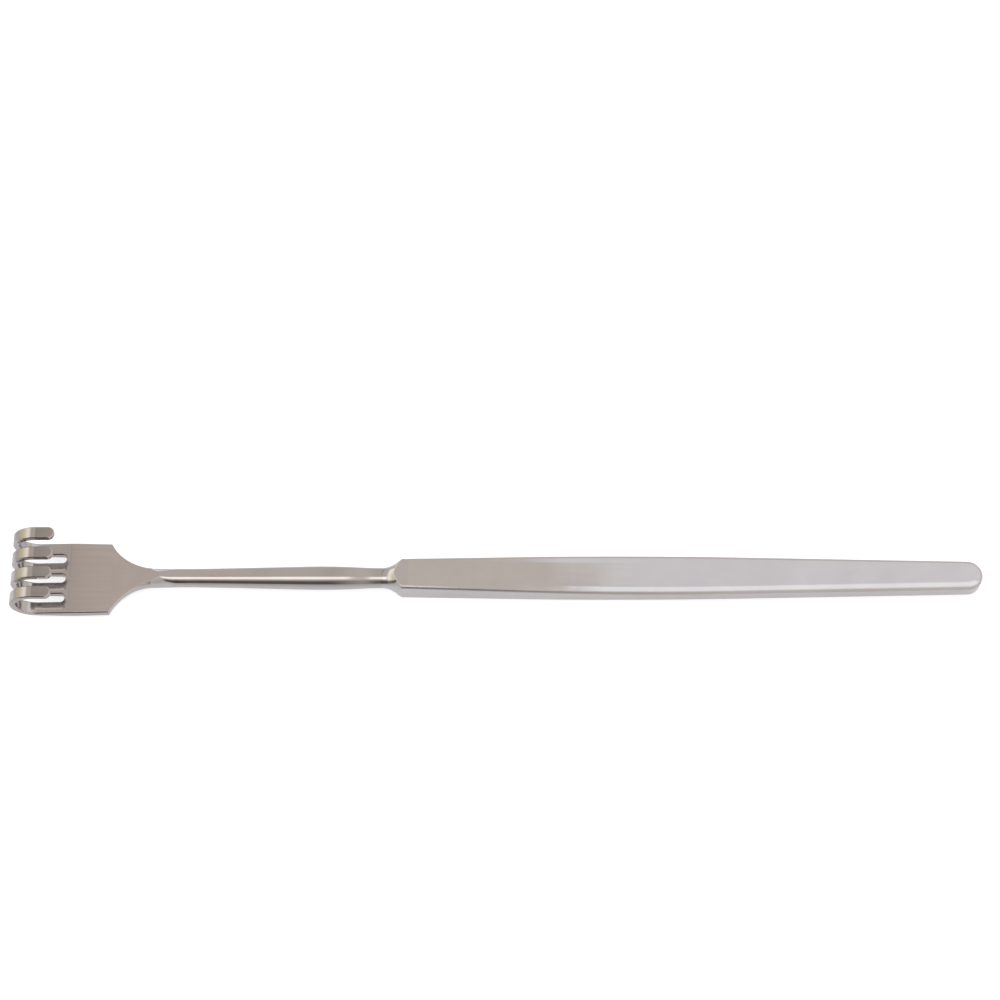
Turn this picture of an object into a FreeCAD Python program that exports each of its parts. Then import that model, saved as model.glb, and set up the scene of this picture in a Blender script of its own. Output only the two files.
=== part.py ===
# Eyelid retractor: a hand instrument of stainless steel, 160 mm long. Its blade is split into
# four blunt prongs, and each prong is bent up into a hook. The blade narrows into a round turned
# neck, and the neck's tang is silver brazed into the socket of a flat solid handle.
# Millimetres. +X runs from the hooks to the handle's tail, +Z is the side that the hooks stand up
# to, and the origin is below the middle of the length, on the surface that it lies on.

import FreeCAD, Part
import os
import re

import Sketcher

PARTS = "parts"
os.makedirs(PARTS, exist_ok=True)

doc = FreeCAD.newDocument("EyelidRetractor")

# Driving dimensions. Lengths along X are runs from one station to the next.
DIMENSIONS = [
    # the forged and turned working end
    ("blade_length", 15.85, "from the outside of the hooks to the shoulder corners"),
    ("blade_width", 12.45, "across all the prongs"),
    ("blade_thickness", 1.5, "plate behind the slots"),
    ("blade_drop", 0.66, "middle of the plate below the axis of the neck"),
    ("prong_count", 4, "prongs across the blade"),
    ("prong_thickness", 1.05, "prongs where they are bent"),
    ("slot_width", 1.45, "gap between two prongs"),
    ("slot_reach", 8.45, "from the outside of the hooks to the round end of a slot"),
    ("slot_land", 0.7, "end of the slots to where the plate starts to thin"),
    ("draw_start", 1.7, "end of the slots to where the sides start to draw in"),
    ("draw_in", 0.125, "how far each side has drawn in at the shoulder corners"),
    ("hook_rise", 7.2, "middle of the plate to middle of the hook's upper leg"),
    ("hook_reach", 7.2, "from the outside of the hooks back to the tips"),
    ("edge_break", 0.16, "bevel along the edges of the plate and the prongs"),
    ("neck_length", 44.95, "from the shoulder corners to the seam with the handle"),
    ("shoulder_run", 6.85, "length of the hollow shoulder"),
    ("ramp_start", 0.4, "shoulder corner to the foot of the ramp on the upper side"),
    ("ramp_run", 8.3, "length of the flat ramp that runs out on top of the neck"),
    ("ramp_lead", 0.12, "end of the ramp above the neck, so that it runs out cleanly"),
    ("root_diameter", 3.31, "neck where the shoulder ends"),
    ("slim_run", 9.7, "from there to the slimmest part"),
    ("slim_diameter", 3.14, "slimmest part of the neck"),
    ("swell_back", 12.3, "start of the swelling, ahead of the seam"),
    ("swell_diameter", 3.84, "neck at the start of the swelling"),
    ("waist_back", 3.3, "start of the waist, ahead of the seam"),
    ("waist_diameter", 3.53, "neck at the start of the waist"),
    ("seam_diameter", 3.36, "neck and handle at the seam"),
    # the joint
    ("tang_diameter", 2.2, "spigot of the neck inside the handle"),
    ("tang_length", 9.0, "depth of the spigot"),
    ("tang_chamfer", 0.25, "lead-in on the end of the spigot"),
    ("braze_gap", 0.05, "film of brazing alloy all round the spigot"),
    # the handle
    ("handle_length", 99.2, "from the seam to the end of the tail"),
    ("flare_radius", 3.8, "hollow of the trumpet at the nose"),
    ("flare_run", 2.35, "length of that hollow, before the nose turns into a cone"),
    ("nose_run", 4.4, "from the seam to where the bar has its full section"),
    ("seam_width", 5.14, "width of the bar's sides, if carried on to the seam"),
    ("belly_width", 6.8, "widest part of the bar"),
    ("belly_station", 42.7, "widest part, behind the seam"),
    ("belly_radius", 790.0, "bulge of the sides there"),
    ("tail_radius", 2.5, "round end of the bar"),
    ("nose_thickness", 4.56, "bar at the seam"),
    ("tail_thickness", 3.0, "bar where its faces run parallel"),
    ("taper_end", 41.0, "where the straight taper and the parallel part would meet"),
    ("taper_blend", 9.0, "half the length of the blend between them"),
    ("break_width", 1.2, "gentle roll-off beside the long edges"),
    ("break_depth", 0.13, "how far it falls"),
    ("handle_bevel", 0.28, "bevel along the long edges"),
]

sheet = doc.addObject("Spreadsheet::Sheet", "Sizes")
for row, (alias, value, note) in enumerate(DIMENSIONS, start=1):
    sheet.set(f"A{row}", alias.replace("_", " "))
    sheet.set(f"B{row}", str(value))
    sheet.setAlias(f"B{row}", alias)
    sheet.set(f"C{row}", note)
doc.recompute()


def size(text):
    """The number that an expression of the sheet's names gives now."""
    return float(sheet.evalExpression(text))


def linked(text):
    """The same expression, as an object outside the sheet has to write it."""
    aliases = "|".join(alias for alias, _, _ in DIMENSIONS)
    return re.sub(rf"\b({aliases})\b", r"Sizes.\1", text)


def bind(thing, prop, text):
    thing.setExpression(prop, linked(text))


def new_body(name, along, height):
    """A body whose own origin is on the axis at the seam."""
    body = doc.addObject("PartDesign::Body", name)
    body.Label = name
    bind(body, ".Placement.Base.x", along)
    bind(body, ".Placement.Base.z", height)
    return body


def new_sketch(body, name, role):
    sketch = body.newObject("Sketcher::SketchObject", name)
    plane = next(item for item in body.Origin.OriginFeatures if item.Role == role)
    sketch.AttachmentSupport = [(plane, "")]
    sketch.MapMode = "FlatFace"
    return sketch


def pin(sketch, geo, end, across, up):
    """Holds one end of a line or arc at the place that two expressions give."""
    for kind, prop, text, axis in (("DistanceX", "x", across, -2), ("DistanceY", "y", up, -1)):
        if abs(size(text)) < 1e-9:
            sketch.addConstraint(Sketcher.Constraint("PointOnObject", geo, end, axis))
            continue
        index = sketch.addConstraint(Sketcher.Constraint(kind, geo, end, size(text)))
        label = f"{prop}{index}"
        sketch.renameConstraint(index, label)
        bind(sketch, "Constraints." + label, text)


def outline(sketch, corners, arcs=None, smooth=(), free=(), closed=True):
    """Draws a closed outline, or an open path, and ties it to the sheet.

    corners holds two expressions for each corner. arcs maps a leg, by the corner that it starts
    from, to the height of its bow: to the left of the way that it runs if positive. A leg ends
    smoothly in the next at each corner in smooth. A corner in free is only a first guess.
    """
    arcs = arcs or {}
    spots = [FreeCAD.Vector(size(across), size(up), 0) for across, up in corners]
    first = sketch.GeometryCount
    legs = len(spots) if closed else len(spots) - 1
    for leg in range(legs):
        start, end = spots[leg], spots[(leg + 1) % len(spots)]
        if leg in arcs:
            run = end - start
            aside = FreeCAD.Vector(-run.y, run.x, 0).normalize() * arcs[leg]
            sketch.addGeometry(Part.Arc(start, (start + end) / 2 + aside, end))
        else:
            sketch.addGeometry(Part.LineSegment(start, end))
    ends = [(2, 1) if arcs.get(leg, 0) > 0 else (1, 2) for leg in range(legs)]
    for leg in range(0 if closed else 1, legs):
        before = (leg - 1) % legs
        kind = "Tangent" if leg in smooth else "Coincident"
        sketch.addConstraint(Sketcher.Constraint(
            kind, first + before, ends[before][1], first + leg, ends[leg][0]))
    for leg, (across, up) in enumerate(corners):
        if leg in free:
            continue
        if leg < legs:
            pin(sketch, first + leg, ends[leg][0], across, up)
        else:
            pin(sketch, first + leg - 1, ends[leg - 1][1], across, up)
    return first


def add(body, kind, name, **values):
    """A feature of a body. A value that is a string holding a name of the sheet is tied to it."""
    feature = body.newObject("PartDesign::" + kind, name)
    for prop, value in values.items():
        if isinstance(value, str) and any(alias in value for alias, _, _ in DIMENSIONS):
            bind(feature, prop, value)
        else:
            setattr(feature, prop, value)
    doc.recompute()
    return feature


def mid_of(edge):
    return edge.valueAt((edge.FirstParameter + edge.LastParameter) / 2)


def way_of(edge):
    return edge.tangentAt((edge.FirstParameter + edge.LastParameter) / 2)


def normal_of(face):
    low_u, high_u, low_v, high_v = face.ParameterRange
    return face.normalAt((low_u + high_u) / 2, (low_v + high_v) / 2)


def edge_names(feature, wanted):
    """Names of the edges of a feature's solid that pass a test."""
    names = [f"Edge{i}" for i, edge in enumerate(feature.Shape.Edges, start=1) if wanted(edge)]
    if not names:
        raise RuntimeError("no edge found on " + feature.Label)
    return names


def in_faces(edge, faces):
    return any(edge.isSame(other) for face in faces for other in face.Edges)


AXIS_HEIGHT = "nose_thickness / 2"
SEAM_ALONG = "(blade_length + neck_length - handle_length) / 2"


# The working end, forged and turned from one blank. First the plate, with the lower legs of the
# prongs, which thin toward the bends. Its sides draw in a little toward the shoulder, and each
# slot between two prongs has a round end.
rake = new_body("rake_blade", SEAM_ALONG, AXIS_HEIGHT)

hooks_at = "(-blade_length - neck_length)"
bend_at = f"{hooks_at} + hook_rise / 2 + prong_thickness / 2"
round_at = f"{hooks_at} + slot_reach - slot_width / 2"
land_at = f"{hooks_at} + slot_reach + slot_land"
draw_at = f"{hooks_at} + slot_reach + draw_start"
plate_top = "blade_thickness / 2 - blade_drop"
plate_under = "-blade_thickness / 2 - blade_drop"
corner_aside = "(blade_width / 2 - draw_in)"

plate_side = new_sketch(rake, "PlateSide", "XZ_Plane")
outline(plate_side, [
    (bend_at, "-prong_thickness / 2 - blade_drop"),
    (land_at, plate_under),
    ("-neck_length", plate_under),
    ("-neck_length", plate_top),
    (land_at, plate_top),
    (bend_at, "prong_thickness / 2 - blade_drop"),
])
plate = add(rake, "Pad", "Plate", Profile=plate_side, Midplane=True, Length="blade_width")

beside = new_sketch(rake, "BesidePlate", "XY_Plane")
for sign in ("", "-"):
    outline(beside, [
        (draw_at, f"{sign}blade_width / 2"),
        ("-neck_length", f"{sign}{corner_aside}"),
        ("-neck_length", f"{sign}blade_width"),
        (draw_at, f"{sign}blade_width"),
    ])
drawn_in = add(rake, "Pocket", "DrawnIn", Profile=beside, Midplane=True, Length="blade_width")

pitch = "(blade_width + slot_width) / prong_count"
prong_width = f"({pitch} - slot_width)"
first_slot = f"-{pitch} * (prong_count - 2) / 2"
slot_plan = new_sketch(rake, "SlotPlan", "XY_Plane")
outline(
    slot_plan,
    [
        (f"{bend_at} - 1", f"{first_slot} - slot_width / 2"),
        (round_at, f"{first_slot} - slot_width / 2"),
        (round_at, f"{first_slot} + slot_width / 2"),
        (f"{bend_at} - 1", f"{first_slot} + slot_width / 2"),
    ],
    arcs={1: -size("slot_width / 2")},
    smooth=(1,),
)
slot = add(rake, "Pocket", "Slot", Profile=slot_plan, Midplane=True, Length="blade_width")
slots = add(rake, "LinearPattern", "Slots", Originals=[slot], Direction=(slot_plan, ["V_Axis"]),
            Length=f"{pitch} * (prong_count - 2)", Occurrences="prong_count - 1")
rake.Tip = slots
doc.recompute()

# The long edges of the plate and the rims of the slots are broken.
foremost, hindmost = size(bend_at) + 0.01, size("-neck_length") - 0.01


def is_plate_wall(face):
    """The upright sides of the plate and of its slots, but not the plate's two ends."""
    return abs(normal_of(face).z) < 0.001 and foremost < face.CenterOfMass.x < hindmost


plate_walls = [face for face in slots.Shape.Faces if is_plate_wall(face)]
rims = add(rake, "Chamfer", "PlateRims", Size="edge_break", Base=(slots, edge_names(
    slots, lambda edge: in_faces(edge, plate_walls) and abs(way_of(edge).z) < 0.5)))

# The rest of a prong is a bar with broken edges swept along the bend of the hook. Its tip is the
# same section turned half round, so that it is blunt, and the whole hook is repeated across.
tip_at = f"{hooks_at} + hook_reach - {prong_width} / 2"
first_prong = f"-{pitch} * (prong_count - 1) / 2"
bend = new_sketch(rake, "HookPath", "XZ_Plane")
path = [(bend_at, "-blade_drop"), (bend_at, "hook_rise - blade_drop"),
        (tip_at, "hook_rise - blade_drop")]
outline(bend, path, arcs={0: size("hook_rise / 2")}, smooth=(1,), closed=False)


def section(name, along, height, whole):
    """The section of a prong with its broken edges, or only the half beyond its middle."""
    sketch = new_sketch(rake, name, "YZ_Plane")
    bind(sketch, ".AttachmentOffset.Base.z", along)
    near = f"{first_prong} - {prong_width} / 2"
    far = f"{first_prong} + {prong_width} / 2"
    low, high = f"{height} - prong_thickness / 2", f"{height} + prong_thickness / 2"
    beyond = [(f"{far} - edge_break", low), (far, f"{low} + edge_break"),
              (far, f"{high} - edge_break"), (f"{far} - edge_break", high)]
    before = [(f"{near} + edge_break", high), (near, f"{high} - edge_break"),
              (near, f"{low} + edge_break"), (f"{near} + edge_break", low)]
    outline(sketch, beyond + (before if whole else [(first_prong, high), (first_prong, low)]))
    return sketch


prong = add(rake, "AdditivePipe", "Hook", Profile=section("HookSection", bend_at, "-blade_drop", True),
            Spine=(bend, ["Edge1", "Edge2"]))
tip_section = section("TipSection", tip_at, "hook_rise - blade_drop", False)

upright = tip_section.addGeometry(Part.LineSegment(
    FreeCAD.Vector(size(first_prong), 0, 0), FreeCAD.Vector(size(first_prong), 1, 0)), True)
pin(tip_section, upright, 1, first_prong, "0")
tip_section.addConstraint(Sketcher.Constraint("Vertical", upright))
tip_section.addConstraint(Sketcher.Constraint("DistanceY", upright, 1, upright, 2, 1.0))
tip = add(rake, "Revolution", "Tip", Profile=tip_section, ReferenceAxis=(tip_section, ["Axis0"]),
          Angle=180, Reversed=True)
prongs = add(rake, "LinearPattern", "Prongs", Originals=[prong, tip],
             Direction=(slot_plan, ["V_Axis"]), Length=f"{pitch} * (prong_count - 1)",
             Occurrences="prong_count")
rake.Tip = prongs
doc.recompute()


# Neck and tang are one turned profile behind the plate.
turned = new_sketch(rake, "TurnedProfile", "XZ_Plane")
outline(
    turned,
    [
        ("-neck_length", "0"),
        ("-neck_length", corner_aside),
        ("shoulder_run - neck_length", "root_diameter / 2"),
        ("shoulder_run + slim_run - neck_length", "slim_diameter / 2"),
        ("-swell_back", "swell_diameter / 2"),
        ("-waist_back", "waist_diameter / 2"),
        ("0", "seam_diameter / 2"),
        ("0", "tang_diameter / 2"),
        ("tang_length - tang_chamfer", "tang_diameter / 2"),
        ("tang_length", "tang_diameter / 2 - tang_chamfer"),
        ("tang_length", "0"),
    ],
    arcs={1: -1.1, 2: -0.08, 4: 0.08, 5: -0.02},
    smooth=(2, 3, 4, 5),
)
axle = next(item for item in rake.Origin.OriginFeatures if item.Role == "X_Axis")
neck = add(rake, "Revolution", "Neck", Profile=turned, ReferenceAxis=(axle, [""]))

# The shoulder is as thick as the plate at its corners, and its flat upper side runs out on top of
# the round neck as a ramp. The underside falls to the neck in the same way.
ramp_end = "ramp_start + ramp_run - neck_length"
ramps = new_sketch(rake, "Ramps", "XZ_Plane")
for sign, plate_face in (("", plate_top), ("-", plate_under)):
    outline(ramps, [
        ("-neck_length - 1", plate_face),
        ("ramp_start - neck_length", plate_face),
        (ramp_end, f"{sign}(slim_diameter / 2 + ramp_lead)"),
        (ramp_end, f"{sign}blade_width"),
        ("-neck_length - 1", f"{sign}blade_width"),
    ])
shoulder = add(rake, "Pocket", "Shoulder", Profile=ramps, Midplane=True, Length="blade_width * 2")


# The handle: a flat bar that bulges in plan, is thickest at its nose and ends round.
handle = new_body("handle", SEAM_ALONG, AXIS_HEIGHT)

plan = new_sketch(handle, "BarPlan", "XY_Plane")
bulge = size("16 * 16 / 2 / belly_radius")
side = outline(
    plan,
    [
        ("0", "-seam_width / 2"),
        ("belly_station - 16", "0.16 - belly_width / 2"),
        ("belly_station + 16", "0.16 - belly_width / 2"),
        ("handle_length - tail_radius", "-tail_radius"),
        ("handle_length - tail_radius", "tail_radius"),
        ("belly_station + 16", "belly_width / 2 - 0.16"),
        ("belly_station - 16", "belly_width / 2 - 0.16"),
        ("0", "seam_width / 2"),
    ],
    arcs={1: -bulge, 3: -size("tail_radius"), 5: -bulge},
    smooth=(1, 2, 3, 4, 5, 6),
    free=(1, 2, 3, 4, 5, 6),
)
for leg, radius, across, up in (
    (1, "belly_radius", "belly_station", "belly_radius - belly_width / 2"),
    (3, "tail_radius", "handle_length - tail_radius", "0"),
    (5, "belly_radius", "belly_station", "belly_width / 2 - belly_radius"),
):
    index = plan.addConstraint(Sketcher.Constraint("Radius", side + leg, size(radius)))
    plan.renameConstraint(index, f"radius{leg}")
    bind(plan, f"Constraints.radius{leg}", radius)
    pin(plan, side + leg, 3, across, up)
bar = add(handle, "Pad", "Bar", Profile=plan, Midplane=True, Length="nose_thickness + 2")

# Upper and lower faces: level at the nose, a straight taper, then parallel to the tail.
taper = "(nose_thickness - tail_thickness) / 2 * taper_blend / (taper_end - nose_run)"
faces = new_sketch(handle, "FaceProfile", "XZ_Plane")
for sign, bow in (("", 0.04), ("-", -0.04)):
    outline(faces, [
        ("-1", f"{sign}nose_thickness / 2"),
        ("nose_run", f"{sign}nose_thickness / 2"),
        ("taper_end - taper_blend", f"{sign}(tail_thickness / 2 + {taper})"),
        ("taper_end + taper_blend", f"{sign}tail_thickness / 2"),
        ("handle_length + 1", f"{sign}tail_thickness / 2"),
        ("handle_length + 1", f"{sign}nose_thickness"),
        ("-1", f"{sign}nose_thickness"),
    ], arcs={2: -bow}, smooth=(2,))
flats = add(handle, "Pocket", "Flats", Profile=faces, Midplane=True, Length="belly_width * 2")


def is_bar_wall(face):
    """The upright sides of the bar and of its round tail."""
    return abs(normal_of(face).z) < 0.001 and face.CenterOfMass.x > 0.01


def long_rims(feature):
    sides = [face for face in feature.Shape.Faces if is_bar_wall(face)]
    return edge_names(
        feature, lambda edge: in_faces(edge, sides) and mid_of(edge).x > 0.01
        and abs(way_of(edge).z) < 0.5)


rolled = add(handle, "Chamfer", "RollOff", ChamferType="Two distances", Size="break_depth",
             Size2="break_width", Base=(flats, long_rims(flats)))
bevelled = add(handle, "Chamfer", "LongEdges", Size="handle_bevel", Base=(rolled, long_rims(rolled)))

# The nose is turned to a trumpet that opens into a cone, and the bar's faces cut that cone.
flare_end = "seam_diameter / 2 + flare_radius - sqrt(flare_radius ^ 2 - flare_run ^ 2)"
cone_rise = "(nose_run + 1 - flare_run) * flare_run / sqrt(flare_radius ^ 2 - flare_run ^ 2)"
nose = new_sketch(handle, "NoseProfile", "XZ_Plane")
outline(nose, [
    ("0", "seam_diameter / 2"),
    ("flare_run", flare_end),
    ("nose_run + 1", f"{flare_end} + {cone_rise}"),
    ("nose_run + 1", "belly_width * 2"),
    ("-1", "belly_width * 2"),
    ("-1", "seam_diameter / 2"),
], arcs={0: -0.19}, smooth=(1,))
line = next(item for item in handle.Origin.OriginFeatures if item.Role == "X_Axis")
trumpet = add(handle, "Groove", "Nose", Profile=nose, ReferenceAxis=(line, [""]))

# Socket for the tang.
mouth = new_sketch(handle, "SocketMouth", "YZ_Plane")
ring = mouth.addGeometry(Part.Circle(FreeCAD.Vector(0, 0, 0), FreeCAD.Vector(0, 0, 1), 1.15))
mouth.addConstraint(Sketcher.Constraint("Coincident", ring, 3, -1, 1))
mouth.addConstraint(Sketcher.Constraint("Diameter", ring, size("tang_diameter + braze_gap * 2")))
mouth.renameConstraint(1, "bore")
bind(mouth, "Constraints.bore", "tang_diameter + braze_gap * 2")
socket = add(handle, "Pocket", "Socket", Profile=mouth, Reversed=True,
             Length="tang_length + braze_gap")


# Brazing alloy: the film that fills the socket round the tang and behind its end.
braze = new_body("braze_film", SEAM_ALONG, AXIS_HEIGHT)
film = new_sketch(braze, "FilmProfile", "XZ_Plane")
outline(film, [
    ("0", "tang_diameter / 2"),
    ("tang_length - tang_chamfer", "tang_diameter / 2"),
    ("tang_length", "tang_diameter / 2 - tang_chamfer"),
    ("tang_length", "0"),
    ("tang_length + braze_gap", "0"),
    ("tang_length + braze_gap", "tang_diameter / 2 + braze_gap"),
    ("0", "tang_diameter / 2 + braze_gap"),
])
centre = next(item for item in braze.Origin.OriginFeatures if item.Role == "X_Axis")
add(braze, "Revolution", "Film", Profile=film, ReferenceAxis=(centre, [""]))

doc.recompute()

# Nothing is written unless every feature has computed and every piece is one sound solid.
for item in doc.Objects:
    if "Invalid" in item.State or "Error" in item.State:
        raise RuntimeError(item.Label + " did not compute")
for piece in (rake, handle, braze):
    shape = piece.Shape
    if shape.isNull() or not shape.isValid() or len(shape.Solids) != 1:
        raise RuntimeError(piece.Label + " is not one sound solid")
for piece in (rake, handle, braze):
    piece.Shape.exportStep(os.path.join(PARTS, piece.Label + ".step"))
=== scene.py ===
# Eyelid retractor of polished stainless steel, lying on its back on a white table.
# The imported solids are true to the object, so they are shown as they are, and this script gives
# them their finishes, the table, the studio and the camera.

import math

import bpy
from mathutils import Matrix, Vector


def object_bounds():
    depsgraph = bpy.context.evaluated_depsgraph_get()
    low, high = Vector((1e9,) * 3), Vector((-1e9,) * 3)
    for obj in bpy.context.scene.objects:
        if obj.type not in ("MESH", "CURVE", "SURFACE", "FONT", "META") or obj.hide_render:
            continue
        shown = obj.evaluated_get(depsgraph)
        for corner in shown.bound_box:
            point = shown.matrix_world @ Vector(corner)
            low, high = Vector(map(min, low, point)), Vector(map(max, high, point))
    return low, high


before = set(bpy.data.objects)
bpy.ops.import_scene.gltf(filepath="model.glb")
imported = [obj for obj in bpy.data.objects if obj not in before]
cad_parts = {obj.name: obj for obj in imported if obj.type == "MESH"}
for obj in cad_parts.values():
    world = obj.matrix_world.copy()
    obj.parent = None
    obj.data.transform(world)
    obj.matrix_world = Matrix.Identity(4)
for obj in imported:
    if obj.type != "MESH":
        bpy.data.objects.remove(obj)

CAD_LOW, CAD_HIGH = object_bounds()
MM = 0.001
WHITE = (1.0, 1.0, 1.0, 1.0)


def linear(code):
    """The linear colour, with alpha, of an sRGB hex value such as "#a09890"."""
    parts = [int(code[i:i + 2], 16) / 255 for i in (1, 3, 5)]
    return [p / 12.92 if p <= 0.04045 else ((p + 0.055) / 1.055) ** 2.4 for p in parts] + [1.0]


def node(tree, kind, settings=None, **links):
    """Adds one node. links maps an input to a value or to another node's output; a name's
    underscores stand for spaces, and a number after the last one picks among like sockets."""
    made = tree.nodes.new(kind)
    for name, value in (settings or {}).items():
        setattr(made, name, value)
    for name, value in links.items():
        words = name.split("_")
        key = int(words[-1]) if words[-1].isdigit() else " ".join(words)
        socket = made.inputs[key]
        if isinstance(value, bpy.types.NodeSocket):
            tree.links.new(value, socket)
        else:
            socket.default_value = value
    return made


def fresh_tree(owner):
    owner.use_nodes = True
    owner.node_tree.nodes.clear()
    return owner.node_tree


def new_material(name):
    material = bpy.data.materials.new(name)
    return material, fresh_tree(material)


# Sizes of the finish, in millimetres. Real polishing lines are a few hundredths of a millimetre
# apart: they are drawn ten times as coarse to show.
LINE_SPACING, LINE_LENGTH = 0.35, 14.0
LINE_DEPTH = 0.00035
DIP_WIDTH, DIP_LENGTH = 4.0, 9.0
DIP_DEPTH = 0.0012
HAZE_PATCH = 6.0
# The station where the handle begins. Nearer to it than the first distance no edge is rounded,
# and past the second one each edge is rounded in full.
SEAM_STATION = -19.2
SEAM_FADE = (1.0, 3.0)


# Stainless steel, forged, ground and buffed along its length. The eye sees a soft mirror with a
# slightly warm grey, a faint lay of polishing lines, and reflections that wander a little because
# the surface was finished by hand. edge is the radius that the polishing gives the edges.
def buffed_stainless(name, tints, roughness, edge):
    material, tree = new_material(name)
    place = node(tree, "ShaderNodeTexCoord").outputs["Object"]
    along = node(tree, "ShaderNodeMapping", Vector=place,
                 Scale=(1 / (LINE_LENGTH * MM), 1 / (LINE_SPACING * MM),
                        1 / (LINE_SPACING * MM))).outputs[0]
    lines = node(tree, "ShaderNodeTexNoise", Vector=along, Scale=1.0, Detail=4.0,
                 Roughness=0.6).outputs["Fac"]
    # Shallow dips that the buffing wheel leaves.
    wide = node(tree, "ShaderNodeMapping", Vector=place,
                Scale=(1 / (DIP_LENGTH * MM), 1 / (DIP_WIDTH * MM),
                       1 / (DIP_WIDTH * MM))).outputs[0]
    dips = node(tree, "ShaderNodeTexNoise", Vector=wide, Scale=1.0, Detail=2.0,
                Roughness=0.4).outputs["Fac"]
    # Haze where fingers and cleaning have left the polish a little duller.
    haze = node(tree, "ShaderNodeTexNoise", Vector=place, Scale=1 / (HAZE_PATCH * MM),
                Detail=3.0, Roughness=0.55).outputs["Fac"]
    dull = node(tree, "ShaderNodeMapRange", Value=haze, From_Min=0.3, From_Max=0.7,
                To_Min=roughness * 0.85, To_Max=roughness * 1.2).outputs[0]
    fine = node(tree, "ShaderNodeMapRange", Value=lines, From_Min=0.3, From_Max=0.7,
                To_Min=-0.025, To_Max=0.025).outputs[0]
    rough = node(tree, "ShaderNodeMath", {"operation": "ADD", "use_clamp": True},
                 Value_0=dull, Value_1=fine).outputs[0]
    # Edges are rounded by the polishing, more than the solids show, but not where neck and
    # handle meet: there the two are polished flush.
    station = node(tree, "ShaderNodeSeparateXYZ", Vector=place).outputs["X"]
    off_seam = node(tree, "ShaderNodeMath", {"operation": "SUBTRACT"}, Value_0=station,
                    Value_1=SEAM_STATION * MM).outputs[0]
    off_seam = node(tree, "ShaderNodeMath", {"operation": "ABSOLUTE"},
                    Value_0=off_seam).outputs[0]
    radius = node(tree, "ShaderNodeMapRange", Value=off_seam, From_Min=SEAM_FADE[0] * MM,
                  From_Max=SEAM_FADE[1] * MM, To_Min=0.0, To_Max=edge * MM).outputs[0]
    rounded = node(tree, "ShaderNodeBevel", {"samples": 8}, Radius=radius).outputs[0]
    waved = node(tree, "ShaderNodeBump", Strength=1.0, Distance=DIP_DEPTH * MM, Height=dips,
                 Normal=rounded).outputs[0]
    scored = node(tree, "ShaderNodeBump", Strength=1.0, Distance=LINE_DEPTH * MM, Height=lines,
                  Normal=waved).outputs[0]
    tone = node(tree, "ShaderNodeMapRange", Value=haze, From_Min=0.25, From_Max=0.75,
                To_Min=0.0, To_Max=1.0).outputs[0]
    base = node(tree, "ShaderNodeMix", {"data_type": "RGBA"}, Factor_0=tone,
                A_6=linear(tints[0]), B_7=linear(tints[1])).outputs[2]
    steel = node(tree, "ShaderNodeBsdfPrincipled", Base_Color=base, Metallic=1.0,
                 Roughness=rough, Normal=scored)
    node(tree, "ShaderNodeOutputMaterial", Surface=steel.outputs[0])
    return material


# Width and depth of the small pits in the cast fillet, in millimetres.
PIT_WIDTH, PIT_DEPTH = 0.15, 0.01


# Silver brazing alloy, run into the joint and polished with the steel. It would show as a hair
# line, a shade yellower than the steel.
def silver_braze(name):
    material, tree = new_material(name)
    place = node(tree, "ShaderNodeTexCoord").outputs["Object"]
    pits = node(tree, "ShaderNodeTexNoise", Vector=place, Scale=1 / (PIT_WIDTH * MM),
                Detail=2.0).outputs[0]
    rough = node(tree, "ShaderNodeMapRange", Value=pits, From_Min=0.3, From_Max=0.7,
                 To_Min=0.10, To_Max=0.18).outputs[0]
    dented = node(tree, "ShaderNodeBump", Strength=0.6, Distance=PIT_DEPTH * MM,
                  Height=pits).outputs[0]
    alloy = node(tree, "ShaderNodeBsdfPrincipled", Base_Color=linear("#c9bda3"), Metallic=1.0,
                 Roughness=rough, Normal=dented)
    node(tree, "ShaderNodeOutputMaterial", Surface=alloy.outputs[0])
    return material


finishes = {
    "rake_blade": buffed_stainless("buffed_stainless_blade", ("#bab4b1", "#c2bcb9"), 0.08, 0.10),
    "handle": buffed_stainless("buffed_stainless_handle", ("#c2bdbb", "#cac5c3"), 0.075, 0.45),
    "braze_film": silver_braze("silver_braze_fillet"),
}
for part, finish in finishes.items():
    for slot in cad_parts[part].material_slots:
        slot.material = finish

# The table reaches this far from the tool, in millimetres, and lies this much below it.
TABLE_REACH, TABLE_GAP = 3000, 0.02
# What the camera sees is brought up to white, and the shadow stays. The steel sees the first share
# of that lift beside the tool, as far out as the first distance, and the second share past the
# second one. That share is painted light: a glow painted on the table, brighter beside the tool,
# that only the steel's reflections show.
TABLE_LIFT = 0.68
PAINTED_GLOW_SHARE = (0.6, 0.2)
PAINTED_GLOW_REACH = (4.5, 12.0)
CLOUD_WIDTH = 30.0
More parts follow.
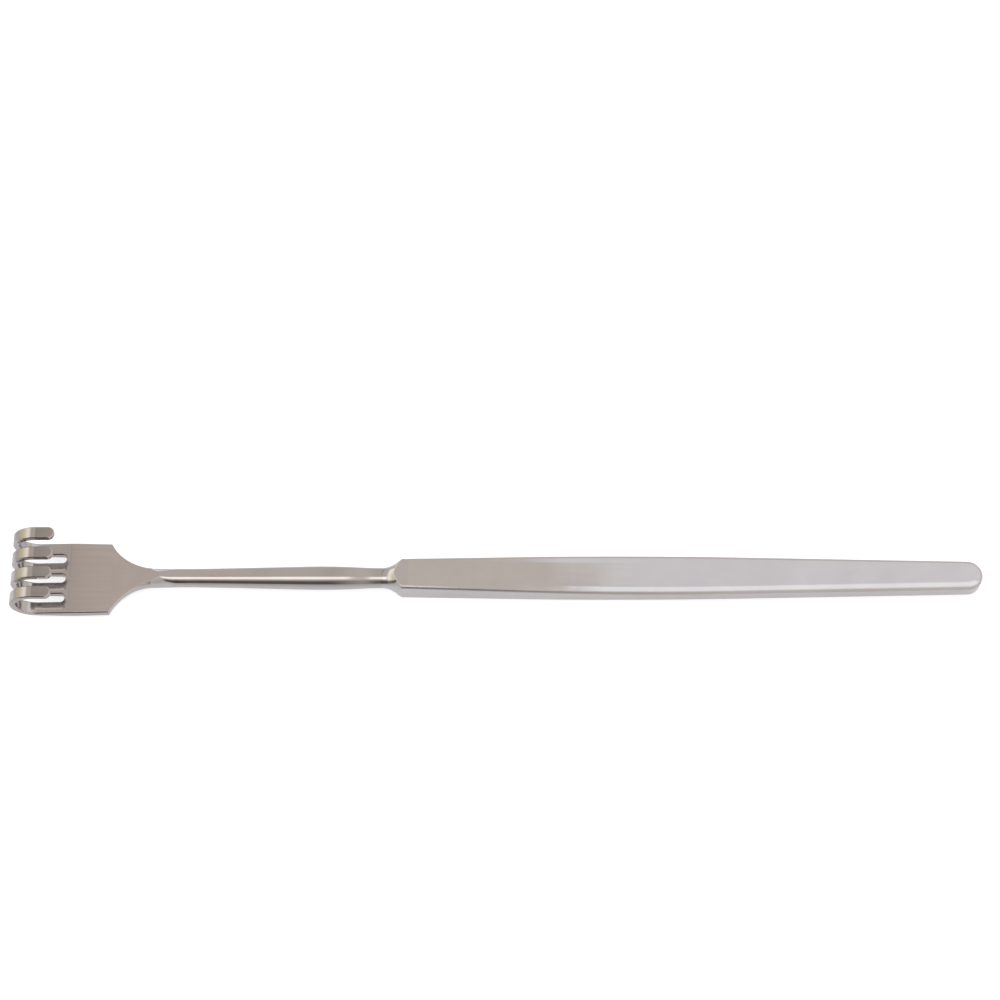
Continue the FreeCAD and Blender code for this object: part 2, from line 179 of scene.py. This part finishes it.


# White laminate, pressed matt. The eye sees an even white with hardly any unevenness. In the
# steel's reflections it also carries a painted glow, brighter beside the tool.
def matt_white_laminate(name):
    material, tree = new_material(name)
    place = node(tree, "ShaderNodeTexCoord").outputs["Object"]
    cloud = node(tree, "ShaderNodeTexNoise", Vector=place, Scale=1 / (CLOUD_WIDTH * MM),
                 Detail=2.0).outputs[0]
    tone = node(tree, "ShaderNodeMix", {"data_type": "RGBA"}, Factor_0=cloud,
                A_6=linear("#c7cad4"), B_7=linear("#cbced8")).outputs[2]
    matt = node(tree, "ShaderNodeBsdfPrincipled", Base_Color=tone, Roughness=0.7)
    rays = node(tree, "ShaderNodeLightPath").outputs
    aside = node(tree, "ShaderNodeSeparateXYZ", Vector=place).outputs["Y"]
    aside = node(tree, "ShaderNodeMath", {"operation": "ABSOLUTE"}, Value_0=aside).outputs[0]
    # Painted light: the glow that the steel sees in the table is stronger beside the tool than
    # further out.
    share = node(tree, "ShaderNodeMapRange", Value=aside, From_Min=PAINTED_GLOW_REACH[0] * MM,
                 From_Max=PAINTED_GLOW_REACH[1] * MM, To_Min=PAINTED_GLOW_SHARE[0],
                 To_Max=PAINTED_GLOW_SHARE[1]).outputs[0]
    painted_glow = node(tree, "ShaderNodeMath", {"operation": "MULTIPLY"},
                    Value_0=rays["Is Glossy Ray"], Value_1=share).outputs[0]
    seen = node(tree, "ShaderNodeMath", {"operation": "MAXIMUM"}, Value_0=rays["Is Camera Ray"],
                Value_1=rays["Is Transmission Ray"]).outputs[0]
    seen = node(tree, "ShaderNodeMath", {"operation": "MAXIMUM"}, Value_0=seen,
                Value_1=painted_glow).outputs[0]
    lift = node(tree, "ShaderNodeMath", {"operation": "MULTIPLY"}, Value_0=seen,
                Value_1=TABLE_LIFT).outputs[0]
    glow = node(tree, "ShaderNodeEmission", Color=WHITE, Strength=lift)
    both = node(tree, "ShaderNodeAddShader", Shader_0=matt.outputs[0], Shader_1=glow.outputs[0])
    node(tree, "ShaderNodeOutputMaterial", Surface=both.outputs[0])
    return material


reach = TABLE_REACH * MM
table_mesh = bpy.data.meshes.new("table_top")
table_mesh.from_pydata([(-reach, -reach, 0), (reach, -reach, 0), (reach, reach, 0),
                        (-reach, reach, 0)], [], [(0, 1, 2, 3)])
table_mesh.materials.append(matt_white_laminate("matt_white_laminate"))
table = bpy.data.objects.new("table_top", table_mesh)
bpy.context.collection.objects.link(table)
table.location.z = CAD_LOW[2] - TABLE_GAP * MM

# The white room, as it looks from the table. From left to right it is a lit wall, a dim gap and
# the plain ceiling: each row has a direction's share to the right, a brightness and a tint.
WALL_PEAK = 1.5
SIDEWAYS = (
    (-1.00, 0.62, "#fffbf4"), (-0.96, 0.74, "#fffae4"), (-0.90, 0.87, "#fffada"),
    (-0.84, 0.98, "#fff9dc"), (-0.77, 1.14, "#fffaec"), (-0.67, 1.40, "#fffaf2"),
    (-0.60, 1.34, "#fffbf4"), (-0.52, 1.20, "#fffbf2"), (-0.49, 0.77, "#fff4ec"),
    (-0.42, 0.72, "#fff4ec"), (-0.225, 0.70, "#fff6ee"), (-0.200, 0.46, "#fff8f2"),
    (-0.162, 0.40, "#fff8f2"), (-0.153, 0.64, "#fff4ec"), (-0.147, 0.81, "#fff4ec"),
    (-0.133, 0.80, "#fff4ec"), (-0.115, 0.76, "#fffaf5"), (-0.08, 0.76, "#fffaf6"),
    (-0.035, 0.72, "#fff8f2"), (0.02, 0.80, "#fff9f2"), (0.30, 0.83, "#fff9f3"),
    (1.00, 0.85, "#fffaf6"))
# Low over the front the room is not lit: angles up from the front's horizon, in degrees, and the
# share of the brightness there.
FRONT_TO_BACK = ((0, 0.5), (4, 0.25), (10, 0.2), (31, 0.2), (39, 0.6), (48, 1.0), (180, 1.0))
# The front's right-hand end is lit again: directions to the right, and the share there.
RIGHT_END = (-0.045, 0.10)
RIGHT_SHARE = (0.15, 1.0)


def white_room():
    world = bpy.data.worlds.new("white_studio")
    bpy.context.scene.world = world
    tree = fresh_tree(world)
    way = node(tree, "ShaderNodeTexCoord").outputs["Generated"]
    parts = node(tree, "ShaderNodeSeparateXYZ", Vector=way).outputs
    side = node(tree, "ShaderNodeMapRange", Value=parts["X"], From_Min=-1.0,
                From_Max=1.0).outputs[0]
    front = node(tree, "ShaderNodeMath", {"operation": "MULTIPLY"}, Value_0=parts["Y"],
                 Value_1=-1.0).outputs[0]
    over = node(tree, "ShaderNodeMath", {"operation": "ARCTAN2"}, Value_0=parts["Z"],
                Value_1=front).outputs[0]
    turn = node(tree, "ShaderNodeMapRange", Value=over, From_Min=0.0, From_Max=math.pi).outputs[0]
    # Both ramps take places and colours from 0 to 1.
    wall = node(tree, "ShaderNodeValToRGB", Fac=side)
    shade = node(tree, "ShaderNodeValToRGB", Fac=turn)
    lit = [((x + 1) / 2, [level / WALL_PEAK * c for c in linear(tint)[:3]])
           for x, level, tint in SIDEWAYS]
    dimmed = [(angle / 180, [share] * 3) for angle, share in FRONT_TO_BACK]
    for band, stops in ((wall.color_ramp, lit), (shade.color_ramp, dimmed)):
        while len(band.elements) < len(stops):
            band.elements.new(0.5)
        for element, (place, colour) in zip(band.elements, stops):
            element.position, element.color = place, (*colour, 1)
    right = node(tree, "ShaderNodeMapRange", Value=parts["X"], From_Min=RIGHT_END[0],
                 From_Max=RIGHT_END[1], To_Min=RIGHT_SHARE[0], To_Max=RIGHT_SHARE[1]).outputs[0]
    level = node(tree, "ShaderNodeMath", {"operation": "MAXIMUM"}, Value_0=shade.outputs[0],
                 Value_1=right).outputs[0]
    shine = node(tree, "ShaderNodeVectorMath", {"operation": "MULTIPLY"},
                 Vector_0=wall.outputs[0], Vector_1=level).outputs[0]
    air = node(tree, "ShaderNodeBackground", Color=shine, Strength=WALL_PEAK)
    node(tree, "ShaderNodeOutputWorld", Surface=air.outputs[0])


# A lamp face of one watt a square metre looks a quarter as bright as a white wall.
WATTS_FOR_WHITE = 4


def softbox(name, centre, across, deep, turn, strength, colour):
    """A flat lamp over the table, face down, that looks as bright as a white wall lit to
    strength. Places and sides are in millimetres; turn is its angle in degrees from above."""
    data = bpy.data.lights.new(name, "AREA")
    data.shape = "RECTANGLE"
    data.size, data.size_y = across * MM, deep * MM
    data.color = linear(colour)[:3]
    data.energy = strength * WATTS_FOR_WHITE * across * deep * MM * MM
    made = bpy.data.objects.new(name, data)
    bpy.context.collection.objects.link(made)
    made.location = Vector(centre) * MM
    made.rotation_euler = (0, 0, math.radians(turn))


white_room()
# Seen in the polish, a lamp adds to the wall behind it.
softbox("strip_over_the_camera", (-184, -258, 600), 352, 320, 0, 0.82, "#fffdfb")
softbox("softbox_right", (256, 258, 430), 439, 240, 8, 0.26, "#c8dbff")
softbox("softbox_right_front", (244, 38, 430), 410, 166, 0, 0.555, "#dbebff")

# The camera looks down at the table from DEPTH millimetres. In the picture, the tool's axis lies
# AXIS_BELOW pixels under the middle and its centre CENTRE_LEFT pixels to the left.
PICTURE = 1000
FOCAL_PIXELS = 2840.0
SENSOR = 36.0
DEPTH = 469.85
LEAN = math.radians(66.0)
AXIS_BELOW, CENTRE_LEFT = 78.1, 1.95
AXIS_HEIGHT = 2.28
NEAR, FAR = 10 * MM, 10.0

camera_data = bpy.data.cameras.new("camera")
camera_data.sensor_fit = "HORIZONTAL"
camera_data.sensor_width = SENSOR
camera_data.lens = SENSOR * FOCAL_PIXELS / PICTURE
camera_data.clip_start, camera_data.clip_end = NEAR, FAR
camera = bpy.data.objects.new("camera", camera_data)
bpy.context.collection.objects.link(camera)
pixel = DEPTH / FOCAL_PIXELS
forward = Vector((0, math.cos(LEAN), -math.sin(LEAN)))
upward = Vector((0, math.sin(LEAN), math.cos(LEAN)))
seat = (Vector((CENTRE_LEFT * pixel, 0, AXIS_HEIGHT)) - forward * DEPTH
        + upward * AXIS_BELOW * pixel)
camera.location = seat * MM
camera.rotation_euler = (math.pi / 2 - LEAN, 0, 0)
bpy.context.scene.camera = camera
bpy.context.scene.view_settings.view_transform = "Standard"
